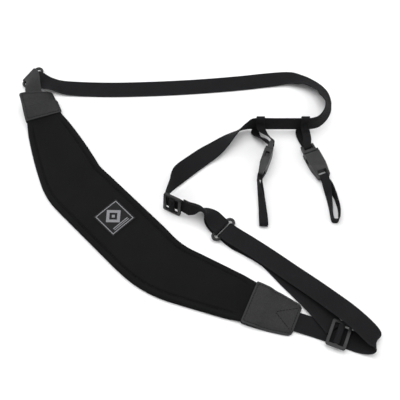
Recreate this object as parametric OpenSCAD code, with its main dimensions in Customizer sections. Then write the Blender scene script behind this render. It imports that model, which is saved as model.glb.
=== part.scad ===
// Padded instrument sling: a curved pad with leather ends, a loop of flat webbing, two sliders, a
// joining ring and two quick-release clips with thin eyelet loops.
// The origin is the middle of the pad's underside. Z is up and the table is z = 0.

/* [Pad] */
// Width of the pad across its middle
pad_w = 67; // [54:1:80]
// Thickness of the pad in its middle
pad_t = 6; // [4.5:0.5:9]
// Thickness of the stretch cover
cover_t = 1.2; // [0.8:0.1:1.6]
// Thickness of the lining under the foam
lining_t = 0.8; // [0.5:0.1:1.2]
// Half the length of the pad's straight middle
pad_straight = 52; // [40:1:70]
// Radius of the right bend along the pad's centre line
right_bend_r = 102; // [80:1:140]
// Angle that the right wing bends by
right_bend = 23; // [15:1:28]
// Radius of the left bend along the pad's centre line
left_bend_r = 64; // [50:1:110]
// Angle that the left wing bends by
left_bend = 18.4; // [14:0.2:22]
// Length of the right wing from its bend to the leather
right_wing = 74; // [60:1:95]
// Length of the left wing from its bend to the leather
left_wing = 80; // [66:1:90]
// Side of the square label
label_w = 31; // [20:1:36]
// Thickness of the label
label_t = 0.6; // [0.4:0.1:1]

/* [Leather] */
// Thickness of the leather
leather_t = 1.2; // [0.8:0.1:1.8]
// Length of the right leather end
right_end_l = 50; // [40:1:60]
// Width of the right leather end at the pad
right_base_w = 46; // [38:1:52]
// Width of the right leather end at its tip
right_tip_w = 33; // [28:1:40]
// Length of the left leather end
left_end_l = 32; // [28:1:44]
// Width of the left leather end at the pad
left_base_w = 41; // [38:1:50]
// Width of the left leather end at its tip
left_tip_w = 40; // [34:1:44]
// How far the pad runs on inside a leather end
tuck = 14; // [8:1:18]
// Angle by which the left wing's outer edge is lifted
wing_roll = 28; // [20:1:32]

/* [Webbing] */
// Width of the webbing
web_w = 20; // [16:0.5:22]
// Thickness of the webbing
web_t = 1.4; // [1:0.1:1.6]
// Width of the hanger and eyelet loops
loop_w = 9; // [7:0.5:10]
// Thickness of the hanger and eyelet loops
loop_t = 1.2; // [0.9:0.1:1.4]

/* [Rings and sliders] */
// Diameter of the rings' rod
rod_d = 3.2; // [2.5:0.1:3.6]
// Distance between the centres of a ring's two bars
bar_gap = 7.6; // [7:0.2:14]
// Width of a slider along the webbing
slider_l = 20; // [18:0.5:24]
// Thickness of a slider's frame
slider_t = 2.6; // [2:0.1:3]
// Width of a slider's bars
bar_w = 3; // [2.5:0.1:3.4]

/* [Clips] */
// Length of the socket
socket_l = 33; // [30:1:44]
// Width of the socket at its mouth
socket_w = 17; // [16:0.5:20]
// Thickness of the socket
socket_t = 9; // [8:0.5:11]
// Wall of the socket
socket_wall = 1.5; // [1.2:0.1:1.8]
// Diameter of the bars that the loops turn round
clip_bar_d = 3; // [2.5:0.1:3.5]

/* [Hidden] */
$fn = 32;
neoprene = "#1c1c1e";
leather = "#3c3c3e";
webbing = "#27272a";
plastic = "#333335";

// ---------------------------------------------------------------- curves and sheets
function unit(v) = v / norm(v);
function heading(a) = [cos(a), sin(a), 0];
function smooth(x) = let (c = min(1, max(0, x))) c * c * (3 - 2 * c);

// Smooth curve through four rows a, b, c, d, at t between b and c
function through(a, b, c, d, t) =
    b + (c - a) * t / 2 + (2 * a - 5 * b + 4 * c - d) * t * t / 2 + (3 * b - a - 3 * c + d) * t * t * t / 2;

// A route's rows [x, y, z, heading of the width, tilt of the width], filled in with `steps` a span
function filled(route, steps) =
    let (last = len(route) - 1)
    concat(
        [for (k = [0 : last - 1], j = [0 : steps - 1])
            through(route[max(k - 1, 0)], route[k], route[k + 1], route[min(k + 2, last)], j / steps)],
        [route[last]]);

// Sections [centre, across, up] of a flat strip along filled-in rows
function sections(rows) =
    let (last = len(rows) - 1, at = function(i) [rows[i][0], rows[i][1], rows[i][2]])
    [for (i = [0 : last])
        let (t = unit(at(min(i + 1, last)) - at(max(i - 1, 0))),
             raw = heading(rows[i][3]) * cos(rows[i][4]) + [0, 0, sin(rows[i][4])],
             across = unit(raw - (raw * t) * t))
        [at(i), across, cross(t, across)]];

// The same strip laid off by lift(k) along its own up direction, k running from 0 to 1
function lifted(strip, lift) =
    let (last = len(strip) - 1)
    [for (i = [0 : last]) [strip[i][0] + strip[i][2] * lift(i / last), strip[i][1], strip[i][2]]];

// The strip travelled the other way
function reversed(strip) =
    [for (i = [len(strip) - 1 : -1 : 0]) [strip[i][0], strip[i][1], -strip[i][2]]];

// Half turn of a strip round a bar at c, arriving along t; side is 1 with the strip's up side out, or -1
function u_turn(c, t, across, r, side, steps = 6) =
    let (up = cross(t, across))
    [for (k = [0 : steps])
        let (a = 180 * k / steps)
        [c + up * side * r * cos(a) + t * r * sin(a), across, up * cos(a) + t * side * sin(a)]];

// Closed solid between two grids of points, under and over, of n rows by m points
module shell(under, over) {
    n = len(under);
    m = len(under[0]);
    points = concat([for (row = under, p = row) p], [for (row = over, p = row) p]);
    u = function(i, j) i * m + j;
    o = function(i, j) n * m + i * m + j;
    faces = concat(
        [for (i = [0 : n - 2], j = [0 : m - 2]) each
            [[u(i, j), u(i + 1, j), u(i + 1, j + 1)], [u(i, j), u(i + 1, j + 1), u(i, j + 1)],
             [o(i, j), o(i + 1, j + 1), o(i + 1, j)], [o(i, j), o(i, j + 1), o(i + 1, j + 1)]]],
        [for (i = [0 : n - 2]) each
            [[u(i, 0), o(i, 0), o(i + 1, 0)], [u(i, 0), o(i + 1, 0), u(i + 1, 0)],
             [u(i, m - 1), o(i + 1, m - 1), o(i, m - 1)], [u(i, m - 1), u(i + 1, m - 1), o(i + 1, m - 1)]]],
        [for (j = [0 : m - 2]) each
            [[u(0, j), u(0, j + 1), o(0, j + 1)], [u(0, j), o(0, j + 1), o(0, j)],
             [u(n - 1, j), o(n - 1, j + 1), u(n - 1, j + 1)], [u(n - 1, j), o(n - 1, j), o(n - 1, j + 1)]]]);
    polyhedron(points, faces);
}

// Flat strip of width w and thickness t along its sections
module strip_solid(strip, w, t) {
    side = function(lift) [for (s = strip) [for (k = [-1, 1]) s[0] + s[1] * k * w / 2 + s[2] * lift]];
    shell(side(-t / 2), side(t / 2));
}

// Closed band: the strip's last section meets its first one
module loop_solid(strip, w, t) {
    n = len(strip);
    corner = [[-1, -1], [1, -1], [1, 1], [-1, 1]];
    points = [for (s = strip, c = corner) s[0] + s[1] * c[0] * w / 2 + s[2] * c[1] * t / 2];
    faces = [for (i = [0 : n - 1], j = [0 : 3]) each
        let (a = i * 4 + j, b = i * 4 + (j + 1) % 4, c = ((i + 1) % n) * 4 + j,
             d = ((i + 1) % n) * 4 + (j + 1) % 4)
        [[a, c, d], [a, d, b]]];
    polyhedron(points, faces);
}

// ---------------------------------------------------------------- pad
pad_heading = -46;
right_arc = right_bend_r * right_bend * PI / 180;
left_arc = left_bend_r * left_bend * PI / 180;
right_base = pad_straight + right_arc + right_wing;
left_base = pad_straight + left_arc + left_wing;
crown = 0.8;
fit = 0.1;
end_gap = 0.3;
taper_l = 16;
end_bottom = leather_t + end_gap;
end_top = leather_t + web_t + 1.2;
end_inset = 0.8;
end_step = 8;
end_steps = 16;
roll_start = left_base - 19.5;
narrowing_start = 0.8;
left_narrowing = 1.9;
right_narrowing = 1.3;
end_rounding = 1.8;
pad_stations = 44;

// Point and direction of the centre line at a signed length s from the middle, in the pad's own axes
function wing_at(s) =
    let (q = abs(s), k = s < 0 ? -1 : 1, r = s < 0 ? left_bend_r : right_bend_r,
         a = min(max((q - pad_straight) / r * 180 / PI, 0), s < 0 ? left_bend : right_bend),
         rest = max(q - pad_straight - (s < 0 ? left_arc : right_arc), 0),
         x = min(q, pad_straight) + r * sin(a) + rest * cos(a),
         y = r * (1 - cos(a)) + rest * sin(a))
    [k * x, y, k * a];

// Half width of the pad at s: full in the middle, narrowing along the wings, then along the leather
function half_width(s) =
    let (q = abs(s), left = s < 0, base = left ? left_base : right_base,
         w = left ? left_base_w : right_base_w, tip = left ? left_tip_w : right_tip_w,
         l = left ? left_end_l : right_end_l, start = pad_straight * narrowing_start,
         share = max(q - start, 0) / (base - start), past = max(q - base, 0) / l)
    (q < base ? pad_w - (pad_w - w) * pow(share, left ? left_narrowing : right_narrowing)
              : w - (w - tip) * pow(past, left ? 1 : end_rounding)) / 2;

// Point of the pad: s along, u across in -1..1, z up; the left wing is rolled about its inner edge
function pad_point(s, u, z, inset = 0) =
    let (c = wing_at(s), h = half_width(s), d = h - u * (h - inset),
         roll = s < 0 ? wing_roll * smooth((-s - roll_start) / (left_base + left_end_l - roll_start)) : 0,
         out = h - d * cos(roll) + z * sin(roll),
         x = c[0] - out * sin(c[2]), y = c[1] + out * cos(c[2]))
    [x * cos(pad_heading) - y * sin(pad_heading), x * sin(pad_heading) + y * cos(pad_heading),
     d * sin(roll) + z * cos(roll)];

// The pad thins down towards the leather and runs on inside it
function end_blend(s) = smooth((abs(s) - (s < 0 ? left_base : right_base) + taper_l) / taper_l);
function pad_bottom(s) = end_bottom * end_blend(s);
function pad_top(s) = pad_t + (end_top - pad_t) * end_blend(s);

pad_s = [for (i = [0 : pad_stations])
    -left_base - tuck + (left_base + right_base + 2 * tuck) * i / pad_stations];

// Rounded edge of the pad: inset from the side, and share of the height
pad_edge = [[0, 0], [0, 0.45], [0.7, 0.83], [2.4, 1]];

// Upper outline of the pad at s, `wall` inside its skin, and never under `floor_z` above the underside
function pad_outline(s, wall, floor_z = 0) =
    let (b = pad_bottom(s), t = pad_top(s) - wall, e = end_inset * end_blend(s) + wall,
         side = function(u, k) pad_point(s, u, max(b + (t - b) * pad_edge[k][1], b + floor_z),
                                         pad_edge[k][0] + e),
         rise = crown * (1 - end_blend(s)))
    concat([for (k = [0 : 3]) side(-1, k)],
           [for (u = [-0.5, 0, 0.5]) pad_point(s, u, t + rise * (1 - 2 * u * u), e)],
           [for (k = [3 : -1 : 0]) side(1, k)]);

// Flat line across the pad at s, z above its underside, with as many points as the outline
function pad_level(s, z) =
    let (m = 2 * len(pad_edge) + 3)
    [for (j = [0 : m - 1]) pad_point(s, 2 * j / (m - 1) - 1, pad_bottom(s) + z,
                                     cover_t + end_inset * end_blend(s))];

module pad_cover() {
    color(neoprene)
    shell([for (s = pad_s) pad_outline(s, cover_t)], [for (s = pad_s) pad_outline(s, 0)]);
}

module pad_foam() {
    color("#303033")
    shell([for (s = pad_s) pad_level(s, lining_t)], [for (s = pad_s) pad_outline(s, cover_t, lining_t)]);
}

module pad_lining() {
    color("#26262a")
    shell([for (s = pad_s) pad_level(s, 0)], [for (s = pad_s) pad_level(s, lining_t)]);
}

module pad_label() {
    ticks = [-1, -0.5, 0, 0.5, 1];
    along = 0.5;
    aside = 2.6;
    face = function(lift) [for (i = ticks) [for (j = ticks)
        let (u = (j * label_w / 2 + aside) * 2 / pad_w)
        pad_point(along + i * label_w / 2, u, pad_t + crown * (1 - 2 * u * u) + lift)]];
    color("#4a4a4d") shell(face(fit), face(fit + label_t));
}

// ---------------------------------------------------------------- leather ends
// Height of the inside of the top leather, q past the pad's leather line and y across
function end_inside(q, y, h) =
    let (past = smooth((q - tuck) / end_step), low = leather_t + web_t + 2 * fit,
         high = end_top + end_gap, middle = high + (low - high) * past,
         side = smooth((abs(y) - web_w / 2 - 1) / max(h - web_w / 2 - 2, 1)))
    middle - (middle - leather_t - fit) * past * side;

module leather_end(side, length, is_top) {
    base = side < 0 ? left_base : right_base;
    across = [for (j = [-6 : 6]) j / 6];
    along = [for (i = [0 : end_steps]) length * i / end_steps];
    face = function(lift) [for (q = along) [for (u = across)
        let (s = side * (base + q), h = half_width(s))
        pad_point(s, u, is_top ? end_inside(q, u * h, h) + lift : lift)]];
    color(leather)
    if (side > 0) shell(face(0), face(leather_t));
    else shell([for (i = [end_steps : -1 : 0]) face(0)[i]], [for (i = [end_steps : -1 : 0]) face(leather_t)[i]]);
}

module right_end_top() { leather_end(1, right_end_l, true); }
module right_end_back() { leather_end(1, right_end_l, false); }
module left_end_top() { leather_end(-1, left_end_l, true); }
module left_end_back() { leather_end(-1, left_end_l, false); }

// ---------------------------------------------------------------- rings and sliders
// Places a child with its X along t, its Y along across and its origin at p
module placed(p, t, across) {
    up = cross(t, across);
    multmatrix([[t[0], across[0], up[0], p[0]], [t[1], across[1], up[1], p[1]],
                [t[2], across[2], up[2], p[2]], [0, 0, 0, 1]])
    children();
}

// Ring of round rod: two straight bars along Y, joined by round ends
module ring(bar_l) {
    for (k = [-1, 1]) {
        translate([k * bar_gap / 2, 0, 0]) rotate([90, 0, 0])
            cylinder(h = bar_l, d = rod_d, center = true);
        translate([0, k * bar_l / 2, 0]) rotate([0, 0, k > 0 ? 0 : 180])
            rotate_extrude(angle = 180) translate([bar_gap / 2, 0]) circle(d = rod_d);
    }
}

module left_ring() {
    color(plastic) placed(left_ring_at, heading(left_ring_heading), heading(left_ring_heading + 90))
        ring(tab_w + 1);
}

module joining_ring() {
    color(plastic) placed(ring_at, heading(ring_heading), heading(ring_heading + 90)) ring(web_w + 1);
}

// Slider: a flat frame with a middle bar, its underside on z = 0, the webbing running along X
module slider_frame() {
    wide = slot_w + 2 * bar_w;
    corner = 2.4;
    linear_extrude(slider_t) difference() {
        union() {
            square([slider_l - 2 * corner, wide], center = true);
            square([slider_l, wide - 2 * corner], center = true);
            for (i = [-1, 1], j = [-1, 1])
                translate([i * (slider_l / 2 - corner), j * (wide / 2 - corner)]) circle(corner);
        }
        for (i = [-1, 1])
            translate([i * (slider_l / 4 - bar_w / 4), 0])
                square([slider_l / 2 - bar_w * 1.5, slot_w], center = true);
    }
}

// Turn of webbing over the middle bar, its feet hidden in the two slots
module slider_bight() {
    x = bar_w / 2 + web_t / 2 + fit;
    top = slider_t + web_t / 2 + fit;
    half = [[x, fit], [x, slider_t + fit], [x * 0.85, top - 0.15], [x * 0.45, top]];
    path = concat([for (p = half) [-p[0], p[1]]], [[0, top]], [for (i = [3 : -1 : 0]) half[i]]);
    rows = [for (p = path) [p[0], 0, p[1], 90, 0]];
    strip_solid(sections(rows), web_w, web_t);
}

module upper_slider_pose() {
    placed(upper_at - upper_up * (doubled_lift + web_t / 2 + slide_gap), upper_along, -upper_across)
        children();
}
module upper_slider() { color(plastic) upper_slider_pose() slider_frame(); }
module upper_slider_bight() { color(webbing) upper_slider_pose() slider_bight(); }

module lower_slider_pose() {
    placed(lower_at, heading(lower_heading), heading(lower_heading + 90)) children();
}
module lower_slider() { color(plastic) lower_slider_pose() slider_frame(); }
module lower_slider_bight() { color(webbing) lower_slider_pose() slider_bight(); }

// ---------------------------------------------------------------- left tab
tab_w = 20;
tab_out = 1.8;
tab_tail = 3.5;
tab_dive = 20;
end_mid = leather_t + fit + web_t / 2;
ring_turn_r = rod_d / 2 + web_t / 2 + 1.5 * fit;
left_tip_s = -(left_base + left_end_l);
left_ring_heading = -33;
left_ring_at = [-100.3, 183.6, 3.6];
left_bar_at = left_ring_at - heading(left_ring_heading) * bar_gap / 2;
tab_arrival = heading(left_ring_heading + 180) * cos(tab_dive) - [0, 0, sin(tab_dive)];
tab_across = heading(left_ring_heading - 90);

// Point of the tab where it is sewn into the leather: a before the tip, y across, h through it
function tab_in_leather(a, y, h) =
    pad_point(left_tip_s + a, -(y + tab_out) / half_width(left_tip_s), end_mid + h);

// Point of the free tab, k from 0 at the leather to 1 where it meets the ring's bar
function tab_free(k, y, h, turn) =
    let (a = tab_in_leather(0, y, h), b = turn[0] + turn[1] * y + turn[2] * h, l = norm(b - a),
         leaving = unit(a - tab_in_leather(1, y, h)) * l, arriving = tab_arrival * l)
    a * (2 * k * k * k - 3 * k * k + 1) + leaving * (k * k * k - 2 * k * k + k)
    + b * (3 * k * k - 2 * k * k * k) + arriving * (k * k * k - k * k);

module left_tab() {
    inside_l = 18;
    turn = u_turn(left_bar_at, tab_arrival, tab_across, ring_turn_r, 1, 8);
    last = turn[len(turn) - 1];
    tail = [last[0] - tab_arrival * tab_tail, last[1], last[2]];
    ticks = [for (j = [-4 : 4]) j * tab_w / 8];
    face = function(h) concat(
        [for (a = [inside_l : -3 : 3]) [for (y = ticks) tab_in_leather(a, y, h)]],
        [for (k = [0 : 11]) [for (y = ticks) tab_free(k / 12, y, h, turn[0])]],
        [for (t = concat(turn, [tail])) [for (y = ticks) t[0] + t[1] * y + t[2] * h]]);
    color(leather) shell(face(-web_t / 2), face(web_t / 2));
}

// ---------------------------------------------------------------- webbing routes
// Rows [x, y, z, heading of the width, tilt of the width], the width pointing right of the travel
band_y = 114;
band_z = web_w / 2 + 2.2;
band_tilt = 89;
slot_w = web_w + 1.6;
stand_z = slot_w / 2 + bar_w + 0.4;
lie_z = web_t / 2 + 0.2;
main_route = [
    [-91.5, 178.8, 5.2, -122, 0], [-85.5, 176.2, 4.3, -115, 8], [-78.5, 174, 4.5, -105, 17],
    [-70, 171.4, 3.6, -98, 13], [-58, 169.6, 2, -92, 4], [-32, 168.5, lie_z, -90, 0], [0, 168.2, lie_z, -90, 0],
    [45, 169.8, lie_z, -88, 0], [90, 172.8, lie_z, -86, 0], [135, 177.3, lie_z, -85, 0],
    [168, 181.6, 1.2, -88, 2], [190.8, 183.3, 2.9, -104, 10], [201.1, 180.5, 4.1, -112, 18],
    [211.1, 176.3, 6, -123, 30], [220.7, 169.4, 6.7, -136, 35], [227, 161.7, 7.4, -152, 40],
    [229.8, 152.6, 8.1, -170, 45], [231, 146.7, 9.2, -182, 55], [231.6, 139, 10, -195, 66],
    [229.2, 130.6, 10.6, -214, 74], [224.6, 122.8, 11.2, -232, 80], [218.6, 117, 11.8, -250, 85],
    [212, 114.5, band_z, -265, 88], [206, band_y, band_z, -270, band_tilt], [190, band_y, band_z, -270, band_tilt],
    [170, band_y, band_z, -270, band_tilt], [149.5, band_y, band_z, -270, band_tilt],
    [142, 112, 11.6, -264, 101], [133, 107.4, 10.4, -250, 117], [124, 101, 8.8, -234, 134],
    [115, 93.5, 6.6, -226, 154], [106, 86, 4.9, -225, 172], [96, 78.8, 4, -225, 186],
    [86, 70.8, 4, -224, 192], [77, 62.4, 5.4, -221, 200], [69.5, 54, 7.8, -214, 218],
    [64, 45.4, 10.6, -205, 242], [60, 37, 12.4, -200, 262], [56.4, 29.4, 13.5, -199, 272],
    [54.2, 23.8, stand_z, -186, 277]
];
// The stretch that the upper slider stands on, and the doubled stretch from there to the joining ring
upper_heading = -28;
upper_tilt = -83;
upper_across = heading(upper_heading - 90) * cos(upper_tilt) + [0, 0, sin(upper_tilt)];
upper_along = heading(upper_heading);
upper_up = cross(upper_along, upper_across);
upper_at = [63, 15.6, stand_z];
upper_before = 8;
upper_after = 15;
doubled_lift = web_t / 2 + 0.15;
doubled_route = [
    [79.5, 7.8, stand_z - 0.2, -110, 277], [85.5, 7.4, 13.2, -96, 268], [91.5, 7.4, 11.6, -98, 246],
    [96.8, 5.6, 9.4, -114, 222], [101.2, 2, 7.2, -128, 200], [104.8, -1.8, 5.2, -132, 186]
];
ring_heading = -42;
ring_at = [113.8, -10.6, 3.8];
ring_along = heading(ring_heading);
ring_across = heading(ring_heading + 90);
slide_gap = 0.3;

// The same strip on both sides of the doubled stretch, spreading to the ring's turn at its far end
function spread(k) = doubled_lift + (ring_turn_r - doubled_lift) * smooth(2 * k - 1);

module main_webbing() {
    right_bar = left_ring_at + heading(left_ring_heading) * bar_gap / 2;
    t = heading(left_ring_heading);
    across = heading(left_ring_heading - 90);
    tail = [right_bar + t * 5 - [0, 0, ring_turn_r], across, [0, 0, -1]];
    start = reversed(concat(u_turn(right_bar, -t, across, ring_turn_r, 1), [tail]));
    stand = [for (x = [-upper_before, 0, upper_after])
        [upper_at + upper_along * x, upper_across, upper_up]];
    pair = sections(filled(doubled_route, 3));
    turn = u_turn(ring_at - ring_along * bar_gap / 2, ring_along, ring_across, ring_turn_r, -1);
    end = [upper_at + upper_along * slider_l / 2 + upper_up * 2 * doubled_lift, upper_across, -upper_up];
    color(webbing)
    strip_solid(concat(start, sections(filled(main_route, 3)), stand,
                       lifted(pair, function(k) -spread(k)), turn,
                       reversed(lifted(pair, function(k) spread(k))), [end]), web_w, web_t);
}

// The adjuster leaves the right end, runs under the lower slider, turns back in the slack loop, climbs to
// the joining ring, and returns to the lower slider
lower_heading = -22;
lower_at = [222.7, -123.6, 2 * web_t + 1.1];
adjuster_route = [
    [162.6, -101.7, end_mid, 66.5, 0], [182.8, -109.4, end_mid, 67, 0], [196, -113.8, 1.3, 68, 0],
    [208, -117.9, lie_z, 68, 0], [222.7, -123.6, lie_z, 68, 0], [237, -129, lie_z, 68, 0],
    [247, -132.2, 1.8, 68, 0], [254.2, -133.2, 4.2, 68, 0], [256.7, -131, 8, 68, 0], [252.4, -125.6, 11.4, 67, 0],
    [243, -115.4, 12.6, 65, 0], [231.5, -104, 12.2, 61, 0], [219.5, -93, 10.4, 57, 0],
    [202, -77.5, 7.6, 54, 0], [183, -62, 5.6, 52, 0], [162, -45.5, 5, 52, 0], [142, -31, 5.4, 51, 0],
    [128, -21.8, 6.2, 49, 0], [122, -17.7, 6.4, 48, 0]
];
return_route = [
    [121.6, -18, 1.2, 48, 0], [128.4, -23.6, 1.1, 49, 0], [139.5, -30, 1.1, 49, 0], [158.5, -43, 1.1, 44, 0],
    [177, -64, 1.1, 41, 0], [190, -78.5, 1.3, 40, 0], [199.4, -89.6, 2.2, 41, 0], [208, -100.8, 3, 44, 0],
    [215.6, -111, 3, 50, 0], [219.8, -117.6, 2.8, 58, 0]
];

module adjuster_webbing() {
    turn = u_turn(ring_at + ring_along * bar_gap / 2, -ring_along, ring_across, ring_turn_r, -1);
    color(webbing)
    strip_solid(concat(sections(filled(adjuster_route, 3)), turn, sections(filled(return_route, 3))),
                web_w, web_t);
}

// ---------------------------------------------------------------- clips
// Each clip hangs on the straight stretch of the main webbing. Its own X runs from the plug's bar to the
// socket's tip, and its Y lies along the bar. The left clip lies on its side, the right one flat.
flat_z = socket_t / 2 + 0.3;
side_z = socket_w / 2 + 0.5;
left_x = 155.5;
left_bar = [left_x + 11, 88, side_z];
left_axis = heading(-109);
left_across = [0, 0, -1];
right_x = 204;
right_bar = [right_x + 2, 88.8, flat_z];
right_axis = heading(-67.7);
right_across = heading(22.3);

// Stations along a clip's X
strip_turn_r = clip_bar_d / 2 + loop_t / 2 + 1.5 * fit;
base_x = strip_turn_r + loop_t / 2 + 1.6;
flange_x = base_x + 4.2;
mouth_x = flange_x + 0.4;
root_x = flange_x + 1.3;
head_x = mouth_x + 5.6;
head_l = 4.6;
pocket_l = 19;
eyelet_bar_x = mouth_x + socket_l - 2.2;
inner_w = socket_w - 2 * socket_wall;
inner_t = socket_t - 2 * socket_wall;
cheek_in = loop_w / 2 + 0.6;
arm_w = 1.6;
arm_y = inner_w / 2 - 0.3 - 1.1 - arm_w / 2;

module on_left() { placed(left_bar, left_axis, left_across) children(); }
module on_right() { placed(right_bar, right_axis, right_across) children(); }

module bar_along_y(l) { rotate([90, 0, 0]) cylinder(h = l, d = clip_bar_d, center = true); }
module block(x0, x1, y, z) { translate([x0, -y, -z]) cube([x1 - x0, 2 * y, 2 * z]); }

module plug() {
    color(plastic) {
        bar_along_y(2 * cheek_in + 2);
        for (k = [-1, 1]) translate([0, k * (cheek_in + 1), 0]) {
            rotate([90, 0, 0]) cylinder(h = 2, r = 2.2, center = true);
            block(0, base_x + 1, 1, 2.2);
        }
        block(base_x, flange_x, cheek_in + 2, 2.6);
        block(flange_x - 1.6, flange_x, socket_w / 2 - 0.2, socket_t / 2 - 0.2);
        block(flange_x, mouth_x + 13, 1.5, 1.5);
    }
}

// Spring arm on side k of the plug, with its round root and its head behind the socket's window
module latch(k) {
    color(plastic) translate([0, k * arm_y, 0]) {
        translate([root_x, 0, 0]) cylinder(h = 3.4, d = arm_w + 0.4, center = true);
        block(root_x, head_x + head_l, arm_w / 2, 1.7);
        translate([0, k * 0.55, 0]) block(head_x, head_x + head_l, arm_w / 2 + 0.55, 1.7);
    }
}

module socket() {
    end_w = cheek_in + 2;
    color(plastic) translate([mouth_x, 0, 0]) {
        difference() {
            intersection() {
                linear_extrude(socket_t, center = true) union() {
                    polygon([[0, -socket_w / 2], [pocket_l - 3, -socket_w / 2], [socket_l - 3, -end_w],
                             [socket_l - 3, end_w], [pocket_l - 3, socket_w / 2], [0, socket_w / 2]]);
                    for (k = [-1, 1]) translate([socket_l - 3, k * (end_w - 3)]) circle(3);
                }
                rotate([90, 0, 0]) linear_extrude(socket_w + 1, center = true) polygon([
                    [0, -socket_t / 2 + 0.6], [1.2, -socket_t / 2], [pocket_l, -socket_t / 2],
                    [socket_l, -2.2], [socket_l, 2.2], [pocket_l, socket_t / 2], [1.2, socket_t / 2],
                    [0, socket_t / 2 - 0.6]]);
            }
            block(-1, pocket_l, inner_w / 2, inner_t / 2);
            block(head_x - mouth_x - 1, head_x - mouth_x + head_l + 1, socket_w, 2.2);
            block(socket_l - 9, socket_l + 1, cheek_in, socket_t);
        }
        translate([socket_l - 2.2, 0, 0]) bar_along_y(2 * cheek_in + 2);
    }
}

// A closed loop of narrow webbing: rows, the turn round its bar, and more rows back to the start
module narrow_loop(before, turn, after) {
    color(webbing)
    loop_solid(concat(sections(filled(before, 3)), turn, sections(filled(after, 3))), loop_w, loop_t);
}

// Rows over the standing band at x: up the back, over the top, down the front
lean = tan(90 - band_tilt);
over = web_t / 2 + loop_t / 2 + 0.6;
band_top = band_z + web_w / 2 + loop_t / 2 + 0.4;
function band_side(x, k, z) = [x, band_y + (z - band_z) * lean + k * over, z, 0, 0];
function down_front(x) = [
    band_side(x, 1, band_top - 1.4), band_side(x, 0.6, band_top + 0.1), band_side(x, -0.6, band_top + 0.1),
    band_side(x, -1, band_top - 1.4), band_side(x, -1, 15)
];

module left_hanger_loop() {
    x = left_x;
    narrow_loop(
        concat(down_front(x), [
            [x + 0.5, 110.4, 10.4, 0, -6], [x + 4, 104.8, side_z + 0.3, 0, -28],
            [x + 10, 98.2, side_z, 2, -58], [x + 14, 92.2, side_z, 0, -84]]),
        u_turn(left_bar, left_axis, left_across, strip_turn_r, 1),
        [[x + 6.4, 93.4, side_z, 0, -80], [x + 1.8, 98, 6.6, 0, -56], [x - 3, 104, 3.3, 0, -24],
         [x - 5, 110, 1.3, 0, 0], [x - 3.6, 114, 1.1, 0, 0], [x - 1.6, 117, 2.6, 0, 0], band_side(x - 0.4, 1, 6)]);
}

module right_hanger_loop() {
    x = right_x;
    top = flat_z + strip_turn_r;
    low = flat_z - strip_turn_r;
    narrow_loop(
        concat(down_front(x), [
            [x + 0.3, 110.8, 9.8, 2, 0], [x + 1.4, 106, 7.6, 8, 0], [x + 2.2, 98.5, top + 0.1, 16, 0],
            [x + 1.6, 93, top, 21, 0]]),
        u_turn(right_bar, right_axis, right_across, strip_turn_r, 1),
        [[x + 0.6, 92.6, low, 20, 0], [x - 1.6, 98, 1.6, 12, 0], [x - 4, 105, 1.2, 4, 0],
         [x - 4.6, 110.5, 1.1, 0, 0], [x - 3.6, 114, 1.1, 0, 0], [x - 1.6, 117, 2.6, 0, 0],
         band_side(x - 0.4, 1, 6)]);
}

// Rows given from an eyelet bar at e: out along the clip's axis, left of it, and height above the table
function hung(e, axis, rows) =
    let (left = [-axis[1], axis[0], 0], turn = atan2(axis[1], axis[0]))
    [for (r = rows) let (p = e + axis * r[0] + left * r[1]) [p[0], p[1], r[2], turn + r[3], r[4]]];

module left_eyelet_loop() {
    e = left_bar + left_axis * eyelet_bar_x;
    narrow_loop(
        hung(e, left_axis, [
            [53, 20, 3.8, -72, 0], [51, 19.6, 6.2, -72, -4], [46, 17.6, 7.4, -74, -14], [37, 13.8, 7.9, -78, -32],
            [27, 9.2, 8.3, -82, -50], [17, 4.4, 8.8, -86, -68], [8, 0.1, side_z, -90, -84]]),
        u_turn(e, -left_axis, left_across, strip_turn_r, 1),
        hung(e, left_axis, [
            [8, 3.7, side_z - 0.4, -90, -84], [17, 7, 6.6, -86, -66], [27, 10.6, 4.2, -82, -46],
            [37, 14.4, 2.7, -78, -24], [46, 17.8, 1.7, -74, -6], [51, 19.5, 1.5, -72, 0]]));
}

module right_eyelet_loop() {
    e = right_bar + right_axis * eyelet_bar_x;
    narrow_loop(
        hung(e, right_axis, [
            [53, -11.2, 5, -90, -88], [50.8, -14.6, 5, -90, -86], [44, -13, 5, -90, -82],
            [36, -9.9, 5, -90, -74], [24, -6, 5.2, -90, -58], [12, -2.6, 6, -90, -28], [4, -0.5, 6.8, -90, -6]]),
        u_turn(e, -right_axis, -right_across, strip_turn_r, 1),
        hung(e, right_axis, [
            [4, 0.4, 2.6, -90, -8], [12, 1, 3.8, -90, -44], [24, 0.6, 4.9, -90, -76], [36, -1.4, 5, -90, -84],
            [44, -4, 5, -90, -86], [50.8, -7.6, 5, -90, -88]]));
}

module left_plug() { on_left() plug(); }
module left_latch_near() { on_left() latch(-1); }
module left_latch_far() { on_left() latch(1); }
module left_socket() { on_left() socket(); }
module right_plug() { on_right() plug(); }
module right_latch_near() { on_right() latch(-1); }
module right_latch_far() { on_right() latch(1); }
module right_socket() { on_right() socket(); }

pad_cover();
pad_foam();
pad_lining();
pad_label();
right_end_top();
right_end_back();
left_end_top();
left_end_back();
left_tab();
left_ring();
main_webbing();
upper_slider();
upper_slider_bight();
joining_ring();
adjuster_webbing();
lower_slider();
lower_slider_bight();
left_hanger_loop();
left_plug();
left_latch_near();
left_latch_far();
left_socket();
left_eyelet_loop();
right_hanger_loop();
right_plug();
right_latch_near();
right_latch_far();
right_socket();
right_eyelet_loop();
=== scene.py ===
# %% [markdown]
# # A padded instrument strap, built round its CAD frame
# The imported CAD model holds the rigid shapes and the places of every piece. This lesson keeps that
# frame, gives its plastic parts softer edges, and rebuilds the soft pieces (pad, leather, webbing)
# as finely divided surfaces with woven and grained finishes.

# %% Load the frame
import math

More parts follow.
